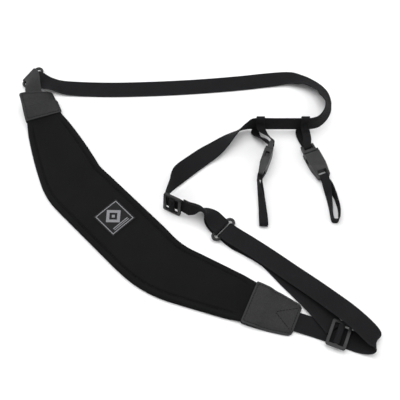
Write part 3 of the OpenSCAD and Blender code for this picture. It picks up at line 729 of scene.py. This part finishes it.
def label_finish():
    """Damask label: the frame, lozenge and stripes are paler threads on black, by distance in millimetres."""
    material, wire, shader = new_finish("label", {"Specular IOR Level": 0.12})
    x, y = cloth_place(wire)
    y = y - LABEL_W / 2
    ax, ay = wire.maths("ABSOLUTE", x), wire.maths("ABSOLUTE", y)
    far = wire.maths("MAXIMUM", ax, ay)
    within = lambda value, low, high: (wire.maths("GREATER_THAN", value, low)
                                       * wire.maths("LESS_THAN", value, high))
    frame_line = within(far, 13.0, 14.1)
    gem = ax + wire.maths("ABSOLUTE", y + 1.8)
    lozenge = wire.maths("MAXIMUM", within(gem, 5.6, 10.0), within(gem, -1.0, 2.2))
    stripes = within(ax, -1.0, 9.6) * (within(y, 8.8, 9.8) + within(y, 10.8, 11.6))
    motif = wire.maths("MAXIMUM", lozenge, stripes)
    pale = wire.maths("MAXIMUM", frame_line, motif)
    threads = weave_height(x, y, 0.32, 0.7)
    where = wire.node("ShaderNodeTexCoord", output=3)
    fuzz = noise(wire, where, 1500.0, 2.0)
    # threads paints the tops of the threads lighter and the gaps between them darker, in the ground and the
    # pale motif alike: painted shade
    ground = mixed((0.006, 0.006, 0.0065), (0.020, 0.020, 0.021), threads * 0.6 + fuzz * 0.3)
    silver = mixed((0.13, 0.13, 0.14), (0.27, 0.27, 0.285), threads * 0.7 + fuzz * 0.3)
    colour = wire.node("ShaderNodeMix", {"data_type": "RGBA"}, {0: pale, 6: ground, 7: silver}, output=2)
    connect(wire, shader, colour, 0.72 - 0.2 * pale, threads * 0.6 + pale * 0.4, 0.00012)
    return material


def label_place(along, aside, lift=0.0):
    """A place on the label: along and aside of its middle, lift above its lower face."""
    d = PAD_W / 2 - (aside + 2.6)
    u = (d - PAD_W / 2) / (PAD_W / 2)
    return on_pad(along + 0.5, d, PAD_T + CROWN * (1 - 2 * u * u) + 0.1 + lift)


ticks = columns(LABEL_W, LABEL_T / 2, 15)
label = cloth("label", label_place(ticks[:, None], ticks[None, ::-1], LABEL_T / 2), LABEL_T, label_finish())
hem = LABEL_W / 2 - 1.4
walk = np.linspace(-hem, hem, 60)
flat_walk = 0 * walk
for n, (a, b) in enumerate(((walk, flat_walk - hem), (walk, flat_walk + hem),
                            (flat_walk - hem, walk), (flat_walk + hem, walk))):
    place = lambda p, q: label_place(p, q, LABEL_T)
    stitches(f"label_seam_{n}", *surface_path(place, a, b), "strap", 1.9, 0.6, 0.4)
declare(label, "strap", stands_for=["pad_label"])
print("label", round(label["width"], 1), "by", round(label["length"], 1), "mm")

# %% [markdown]
# ## Leather ends
# Each end of the pad is gripped between two pieces of leather that also hold a strap. They are cut to
# the pad's outline, sewn along the rim and across the line where the pad ends.

# %% Leather ends
# distances of the seams from the rims, and from the leather's two ends
RIM_SEAM, END_SEAM = 2.4, 2.2


def end_inside(q, y, h):
    """Height of the inside of the top leather, q past the line where it begins and y across."""
    past = smooth((q - TUCK) / 8)
    low, high = LEATHER_T + WEB_T + 0.2, END_TOP + 0.3
    middle = high + (low - high) * past
    side = smooth((np.abs(y) - WEB_W / 2 - 1) / np.maximum(h - WEB_W / 2 - 2, 1))
    return middle - (middle - LEATHER_T - 0.1) * past * side


def end_place(side, top):
    """The rule for a place on one leather: q past its line and y across, lift above its inside."""
    def place(q, y, lift=LEATHER_T / 2):
        s = side * (BASE[(side + 1) // 2] + q)
        h = half_width(s)
        inside = end_inside(q, y, h) if top else 0.0
        wear = 0.0
        if top:
            length = END_L[(side + 1) // 2]
            ends = np.minimum(np.abs(q - END_SEAM), np.abs(length - END_SEAM - q))
            seam = np.minimum(np.abs(h - np.abs(y) - RIM_SEAM), ends)
            wear = 0.1 * np.sin(q / 3.7 + y / 5.1) * np.sin(y / 4.3) - 0.3 * np.exp(-(seam / 0.7) ** 2)
        return on_pad(s, h - y, inside + lift + wear)
    return place


def leather_end(name, side, top):
    """One leather: rows along it and columns across, scaled to the outline at each row. Its corners
    are cut round, by a circle's height above its chord."""
    length = END_L[(side + 1) // 2]
    q = np.concatenate([[0, 0.04, 0.12, 0.27, 0.5], np.linspace(0.8, length - 0.8, 60),
                        length - np.array([0.5, 0.27, 0.12, 0.04, 0])])[:, None]
    h = half_width(side * (BASE[(side + 1) // 2] + q))
    for corner, near in ((1.5, q), (4.0 if side > 0 else 2.0, length - q)):
        inside = np.clip(corner - near, 0, corner)
        h = h - corner + np.sqrt(corner ** 2 - inside ** 2)
    y = columns(2.0, 0.035, 31)[None] * h
    return cloth(name, end_place(side, top)(q, y if side > 0 else y[:, ::-1]), LEATHER_T, leather)


def end_seams(name, side):
    """The seams of one end: along both rims and the tip, across the pad's line, and a V."""
    place = lambda q, y: end_place(side, True)(q, y, LEATHER_T)
    length, base = END_L[(side + 1) // 2], BASE[(side + 1) // 2]
    q = np.linspace(END_SEAM, length - END_SEAM, 200)
    rim = half_width(side * (base + q)) - RIM_SEAM
    tip, root = np.linspace(-rim[-1], rim[-1], 80), np.linspace(-rim[0], rim[0], 80)
    made = [(q, rim), (q, -rim), (0 * tip + length - END_SEAM, tip), (0 * root + END_SEAM, root)]
    if side > 0:
        v = np.linspace(28, length - 3.4, 80)
        reach = 11.5 * (v - 28) / (length - 31.4)
        made += [(v, reach + 0.4), (v, -reach - 0.4)]
    return [stitches(f"{name}_seam_{n}", *surface_path(place, a, b), "strap", 2.2, 0.7, 0.7)
            for n, (a, b) in enumerate(made)]


for name, side in (("left_end", -1), ("right_end", 1)):
    sewn = end_seams(name, side)
    declare(leather_end(name + "_top_leather", side, True), "strap",
            stands_for=[name + "_top"])
    declare(leather_end(name + "_back_leather", side, False), "strap",
            stands_for=[name + "_back"])
print("leather ends sewn")

# %% [markdown]
# ## The left tab
# A tab of the same leather comes out of the left end, goes round the near bar of the oval ring and
# back under itself. It leaves the end level and meets the ring on a slant, so it twists on the way.

# %% Tab
LEFT_RING = np.array([-100.3, 183.6, 3.6])
RING_ALONG = heading(-33)
TIP_S = -(BASE[0] + END_L[0])
arrival = heading(147) * math.cos(math.radians(20)) - Z * math.sin(math.radians(20))


def in_leather(a, y):
    """A place on the tab where it is sewn in: a before the leather's tip and y across."""
    h = half_width(np.array(TIP_S))
    return on_pad(TIP_S + a, h + y + 1.8, END_MID)


def build_tab():
    """Tab: rows inside the leather, a Hermite sweep to the bar, half a turn round it, and a tail."""
    y = columns(WEB_W, WEB_T / 2)
    hidden = in_leather(np.linspace(18, 0.8, 20)[:, None], y[None])
    turn = u_turn(LEFT_RING - RING_ALONG * HALF_GAP, arrival, heading(-123), RING_TURN, 1, 16)
    begin = in_leather(0.0, y)
    end = turn[0, 0] + turn[0, 1] * y[:, None]
    reach = np.linalg.norm(end - begin, axis=1)[:, None]
    leave = unit(begin - in_leather(1.0, y)) * reach
    k = np.linspace(0, 1, 30)[:, None, None]
    free = (begin * (2 * k ** 3 - 3 * k ** 2 + 1) + leave * (k ** 3 - 2 * k ** 2 + k)
            + end * (3 * k ** 2 - 2 * k ** 3) + arrival * reach * (k ** 3 - k ** 2))
    wrapped = turn[1:, None, 0] + turn[1:, None, 1] * y[None, :, None]
    tail = wrapped[-1:] - arrival * np.linspace(0.4, 3.5, 8)[:, None, None]
    return cloth("left_tab_leather", np.concatenate([hidden, free, wrapped, tail]), WEB_T, leather)


declare(build_tab(), "strap", ["left_tab"])

# %% [markdown]
# ## The main webbing
# One length of webbing leaves the far bar of the left ring, runs flat along the table, turns on its edge
# round the right of the layout, carries both clips, and comes back on its edge through the upper slider
# to the joining ring. There it turns back and is doubled as far as the slider.

# %% Main webbing
STAND = (WEB_W + 1.6) / 2 + 3.4
BAND_Y, BAND_Z = 114.0, 12.2
UPPER_AT, UPPER_ALONG = np.array([63, 15.6, STAND]), heading(-28)
UPPER_ACROSS = heading(-118) * math.cos(math.radians(-83)) + Z * math.sin(math.radians(-83))
UPPER_UP = np.cross(UPPER_ALONG, UPPER_ACROSS)
JOIN_AT, JOIN_ALONG, JOIN_ACROSS = np.array([113.8, -10.6, 3.8]), heading(-42), heading(48)
DOUBLED = WEB_T / 2 + 0.15
main_route = [
    [-91.5, 178.8, 5.2, -122, 0], [-85.5, 176.2, 4.3, -115, 8], [-78.5, 174, 4.5, -105, 17],
    [-70, 171.4, 3.6, -98, 13], [-58, 169.6, 2, -92, 4], [-32, 168.5, LIE, -90, 0], [0, 168.2, LIE, -90, 0],
    [45, 169.8, LIE, -88, 0], [90, 172.8, LIE, -86, 0], [135, 177.3, LIE, -85, 0], [168, 181.6, 1.2, -88, 2],
    [190.8, 183.3, 2.9, -104, 10], [201.1, 180.5, 4.1, -112, 18], [211.1, 176.3, 6, -123, 30],
    [220.7, 169.4, 6.7, -136, 35], [227, 161.7, 7.4, -152, 40], [229.8, 152.6, 8.1, -170, 45],
    [231, 146.7, 9.2, -182, 55], [231.6, 139, 10, -195, 66], [229.2, 130.6, 10.6, -214, 74],
    [224.6, 122.8, 11.2, -232, 80], [218.6, 117, 11.8, -250, 85], [212, 114.5, BAND_Z, -265, 88],
    [206, BAND_Y, BAND_Z, -270, 89], [190, BAND_Y, BAND_Z, -270, 89], [170, BAND_Y, BAND_Z, -270, 89],
    [149.5, BAND_Y, BAND_Z, -270, 89], [142, 112, 11.6, -264, 101], [133, 107.4, 10.4, -250, 117],
    [124, 101, 8.8, -234, 134], [115, 93.5, 6.6, -226, 154], [106, 86, 4.9, -225, 172],
    [96, 78.8, 4, -225, 186], [86, 70.8, 4, -224, 192], [77, 62.4, 5.4, -221, 200],
    [69.5, 54, 7.8, -214, 218], [64, 45.4, 10.6, -205, 242], [60, 37, 12.4, -200, 262],
    [56.4, 29.4, 13.5, -199, 272], [54.2, 23.8, STAND, -186, 277]]
doubled_route = [
    [79.5, 7.8, STAND - 0.2, -110, 277], [85.5, 7.4, 13.2, -96, 268], [91.5, 7.4, 11.6, -98, 246],
    [96.8, 5.6, 9.4, -114, 222], [101.2, 2, 7.2, -128, 200], [104.8, -1.8, 5.2, -132, 186]]


def one(centre, across, up):
    """A single section."""
    return np.array([[centre, across, up]])


def main_strip():
    """All sections of the main webbing, from its sewn end at the left ring to its end at the slider."""
    spread = lambda k: DOUBLED + (RING_TURN - DOUBLED) * smooth(2 * k - 1)
    bar, across = LEFT_RING + RING_ALONG * HALF_GAP, heading(-123)
    tail = one(bar + RING_ALONG * 5 - Z * RING_TURN, across, -Z)
    start = reversed_strip(np.concatenate([u_turn(bar, -RING_ALONG, across, RING_TURN, 1), tail]))
    stand = np.concatenate([one(UPPER_AT + UPPER_ALONG * x, UPPER_ACROSS, UPPER_UP) for x in (-8, 0, 15)])
    pair = sections(filled(doubled_route))
    turn = u_turn(JOIN_AT - JOIN_ALONG * HALF_GAP, JOIN_ALONG, JOIN_ACROSS, RING_TURN, -1)
    end = one(UPPER_AT + UPPER_ALONG * 10 + UPPER_UP * 2 * DOUBLED, UPPER_ACROSS, -UPPER_UP)
    return np.concatenate([start, sections(filled(main_route)), stand, lifted(pair, lambda k: -spread(k)),
                           turn, reversed_strip(lifted(pair, spread)), end])


main, main_run = strap("main_strap", main_strip(), WEB_W, WEB_T, webbing)
tacks = [stitches(f"main_tack_{n}", *strip_path(main_run, at, at, (-8.2, 8.2), WEB_T), "strap",
                  1.5, 0.15, 0.5)
         for n, at in enumerate((21.0, 23.4))]
declare(main, "strap", stands_for=["main_webbing"])
print("main webbing length", round(main["length"]), "mm")

# %% [markdown]
# ## The adjuster webbing
# A second length is sewn into the right end. It passes under the lower slider, turns back in a slack
# loop, goes through the joining ring and returns to the slider's bar, so that pulling the loop sets the
# strap's length.

# %% Adjuster
LOWER_AT = np.array([222.7, -123.6, 2 * WEB_T + 1.1])
adjuster_route = [
    [162.6, -101.7, END_MID, 66.5, 0], [182.8, -109.4, END_MID, 67, 0], [196, -113.8, 1.3, 68, 0],
    [208, -117.9, LIE, 68, 0], [222.7, -123.6, LIE, 68, 0], [237, -129, LIE, 68, 0],
    [247, -132.2, 1.8, 68, 0], [254.2, -133.2, 4.2, 68, 0], [256.7, -131, 8, 68, 0],
    [252.4, -125.6, 11.4, 67, 0],
    [243, -115.4, 12.6, 65, 0], [231.5, -104, 12.2, 61, 0], [219.5, -93, 10.4, 57, 0],
    [202, -77.5, 7.6, 54, 0], [183, -62, 5.6, 52, 0], [162, -45.5, 5, 52, 0], [142, -31, 5.4, 51, 0],
    [128, -21.8, 6.2, 49, 0], [122, -17.7, 6.4, 48, 0]]
return_route = [
    [121.6, -18, 1.2, 48, 0], [128.4, -23.6, 1.1, 49, 0], [139.5, -30, 1.1, 49, 0], [158.5, -43, 1.1, 44, 0],
    [177, -64, 1.1, 41, 0], [190, -78.5, 1.3, 40, 0], [199.4, -89.6, 2.2, 41, 0], [208, -100.8, 3, 44, 0],
    [215.6, -111, 3, 50, 0], [219.8, -117.6, 2.8, 58, 0]]
join_turn = u_turn(JOIN_AT + JOIN_ALONG * HALF_GAP, -JOIN_ALONG, JOIN_ACROSS, RING_TURN, -1)
adjuster, adjuster_run = strap(
    "adjuster_strap", np.concatenate([sections(filled(adjuster_route)), join_turn,
                                      sections(filled(return_route))]), WEB_W, WEB_T, webbing)
declare(adjuster, "strap", stands_for=["adjuster_webbing"])
print("adjuster length", round(adjuster["length"]), "mm")

# %% [markdown]
# ## Webbing over the sliders' bars
# Where the webbing climbs over a slider's middle bar it belongs to the slider, and travels with it.

# %% Bights
def bight(name, place, t, across, body, node):
    """A short turn of webbing over the bar, in the slider's own axes at place, X along t."""
    x, top = 1.5 + WEB_T / 2 + 0.1, 2.6 + WEB_T / 2 + 0.1
    half = [[x, 0.1], [x, 2.7], [x * 0.85, top - 0.15], [x * 0.45, top]]
    path = [[-a, b] for a, b in half] + [[0, top]] + half[::-1]
    strip = sections(np.array([[a, 0, b, 90, 0] for a, b in path], float))
    axes = np.stack([t, across, np.cross(t, across)])
    strip = strip @ axes
    strip[:, 0] += place
    piece, _ = strap(name, strip, WEB_W, WEB_T, webbing, step=0.25)
    return declare(piece, body, [node])


bight("upper_turn", UPPER_AT - UPPER_UP * (DOUBLED + WEB_T / 2 + 0.3), UPPER_ALONG, -UPPER_ACROSS,
      "upper_slider_body", "upper_slider_bight")
bight("lower_turn", LOWER_AT, heading(-22), heading(68), "lower_slider_body", "lower_slider_bight")
print("bights placed")

# %% [markdown]
# ## Loops of narrow webbing
# Each clip hangs from a loop of narrow webbing threaded over the main webbing, and carries a second loop,
# the eyelet, on its other half. All four are closed bands, sewn with a dense tack below the bar.

# %% Loop rows
SIDE_Z, FLAT_Z, LOOP_R, EYELET = 9.0, 4.8, 1.5 + LOOP_T / 2 + 0.15, 39.85
LEAN, OVER = math.tan(math.radians(1)), WEB_T / 2 + LOOP_T / 2 + 0.6
BAND_TOP = BAND_Z + WEB_W / 2 + LOOP_T / 2 + 0.4
LEFT_BAR, LEFT_AXIS, LEFT_ACROSS = np.array([166.5, 88, SIDE_Z]), heading(-109), -Z
RIGHT_BAR, RIGHT_AXIS, RIGHT_ACROSS = np.array([206, 88.8, FLAT_Z]), heading(-67.7), heading(22.3)


def band_side(x, k, z):
    """A row beside the standing webbing: k -1 in front, 1 behind."""
    return [x, BAND_Y + (z - BAND_Z) * LEAN + k * OVER, z, 0, 0]


def down_front(x):
    """Rows over the standing webbing at x: up its back, over the top and down its front."""
    return [band_side(x, 1, BAND_TOP - 1.4), band_side(x, 0.6, BAND_TOP + 0.1),
            band_side(x, -0.6, BAND_TOP + 0.1), band_side(x, -1, BAND_TOP - 1.4), band_side(x, -1, 15)]


def up_back(x):
    """Rows straight up the back of the standing webbing."""
    return [band_side(x - 0.4, 1, 6), band_side(x - 0.3, 1, 11), band_side(x - 0.1, 1, 17)]


def hung(e, axis, rows):
    """Rows given from a bar at e: out along the clip, left of it, height, and turn of the width."""
    left, turn = np.array([-axis[1], axis[0], 0]), math.degrees(math.atan2(axis[1], axis[0]))
    return [[*(e + axis * r[0] + left * r[1])[:2], r[2], turn + r[3], r[4]] for r in rows]


def band(name, before, turn, after, body, node, tack):
    """A closed loop of narrow webbing, its tack at those distances along it."""
    strip = np.concatenate([sections(filled(before)), turn, sections(filled(after))])
    piece, run = strap(name, strip, LOOP_W, LOOP_T, narrow_webbing, closed=True, step=0.6)
    sewn = [stitches(f"{name}_tack_{n}", *strip_path(run, at, at, (-3.6, 3.6), LOOP_T), body, 1.2, 0.1, 0.45)
            for n, at in enumerate(tack)]
    return declare(piece, body, [node])


# distances along a hanger loop: one tack on the main webbing's front, one below it
HANGER_TACKS = (10.4, 11.4, 22.0, 23.2, 24.4)
x = 155.5
band("left_hanger_band", down_front(x) + [
    [x + 0.5, 110.4, 10.4, 0, -6], [x + 4, 104.8, 9.3, 0, -28], [x + 10, 98.2, 9, 2, -58],
    [x + 14, 92.2, 9, 0, -84]],
    u_turn(LEFT_BAR, LEFT_AXIS, LEFT_ACROSS, LOOP_R, 1), [
    [x + 6.4, 93.4, 9, 0, -80], [x + 1.8, 98, 6.6, 0, -56], [x - 3, 104, 3.3, 0, -24],
    [x - 5, 110, 1.3, 0, 0],
    [x - 3.6, 114, 1.1, 0, 0], [x - 1.6, 117, 2.6, 0, 0]] + up_back(x),
    "left_hanger_body", "left_hanger_loop", HANGER_TACKS)
x = 204.0
band("right_hanger_band", down_front(x) + [
    [x + 0.3, 110.8, 9.8, 2, 0], [x + 1.4, 106, 7.6, 8, 0], [x + 2.2, 98.5, 7.15, 16, 0],
    [x + 1.6, 93, 7.05, 21, 0]],
    u_turn(RIGHT_BAR, RIGHT_AXIS, RIGHT_ACROSS, LOOP_R, 1), [
    [x + 0.6, 92.6, 2.55, 20, 0], [x - 1.6, 98, 1.6, 12, 0], [x - 4, 105, 1.2, 4, 0],
    [x - 4.6, 110.5, 1.1, 0, 0],
    [x - 3.6, 114, 1.1, 0, 0], [x - 1.6, 117, 2.6, 0, 0]] + up_back(x),
    "right_hanger_body", "right_hanger_loop", HANGER_TACKS)
e = LEFT_BAR + LEFT_AXIS * EYELET
band("left_eyelet_band", hung(e, LEFT_AXIS, [
    [53, 20, 3.8, -72, 0], [51, 19.6, 6.2, -72, -4], [46, 17.6, 7.4, -74, -14], [37, 13.8, 7.9, -78, -32],
    [27, 9.2, 8.3, -82, -50], [17, 4.4, 8.8, -86, -68], [8, 0.1, 9, -90, -84]]),
    u_turn(e, -LEFT_AXIS, LEFT_ACROSS, LOOP_R, 1), hung(e, LEFT_AXIS, [
    [8, 3.7, 8.6, -90, -84], [17, 7, 6.6, -86, -66], [27, 10.6, 4.2, -82, -46], [37, 14.4, 2.7, -78, -24],
    [46, 17.8, 1.7, -74, -6], [51, 19.5, 1.5, -72, 0]]), "left_eyelet_body", "left_eyelet_loop",
    (34.0, 35.2, 36.4))
e = RIGHT_BAR + RIGHT_AXIS * EYELET
band("right_eyelet_band", hung(e, RIGHT_AXIS, [
    [53, -11.2, 5, -90, -88], [50.8, -14.6, 5, -90, -86], [44, -13, 5, -90, -82], [36, -9.9, 5, -90, -74],
    [24, -6, 5.2, -90, -58], [12, -2.6, 6, -90, -28], [4, -0.5, 6.8, -90, -6]]),
    u_turn(e, -RIGHT_AXIS, -RIGHT_ACROSS, LOOP_R, 1), hung(e, RIGHT_AXIS, [
    [4, 0.4, 2.6, -90, -8], [12, 1, 3.8, -90, -44], [24, 0.6, 4.9, -90, -76], [36, -1.4, 5, -90, -84],
    [44, -4, 5, -90, -86], [50.8, -7.6, 5, -90, -88]]), "right_eyelet_body", "right_eyelet_loop",
    (36.0, 37.2, 38.4))
print("loops closed")

# %% [markdown]
# ## Moulded fittings
# The rings, sliders and the two halves of each clip are the frame's own shapes. A weld joins their loose
# triangles, and a small bevel gives every edge except the rings' the radius that a mould leaves.

# %% Fittings
for name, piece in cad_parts.items():
    if any(word in name for word in ("ring", "slider", "plug", "latch", "socket")) and "bight" not in name:
        piece.data.materials.clear()
        piece.data.materials.append(acetal)
        weld = piece.modifiers.new("weld", "WELD")
        weld.merge_threshold = 1e-6
        if "ring" not in name:
            edge = piece.modifiers.new("edge", "BEVEL")
            edge.width = 0.0003
            edge.segments = 2
            edge.limit_method = "ANGLE"
            edge.angle_limit = math.radians(40)
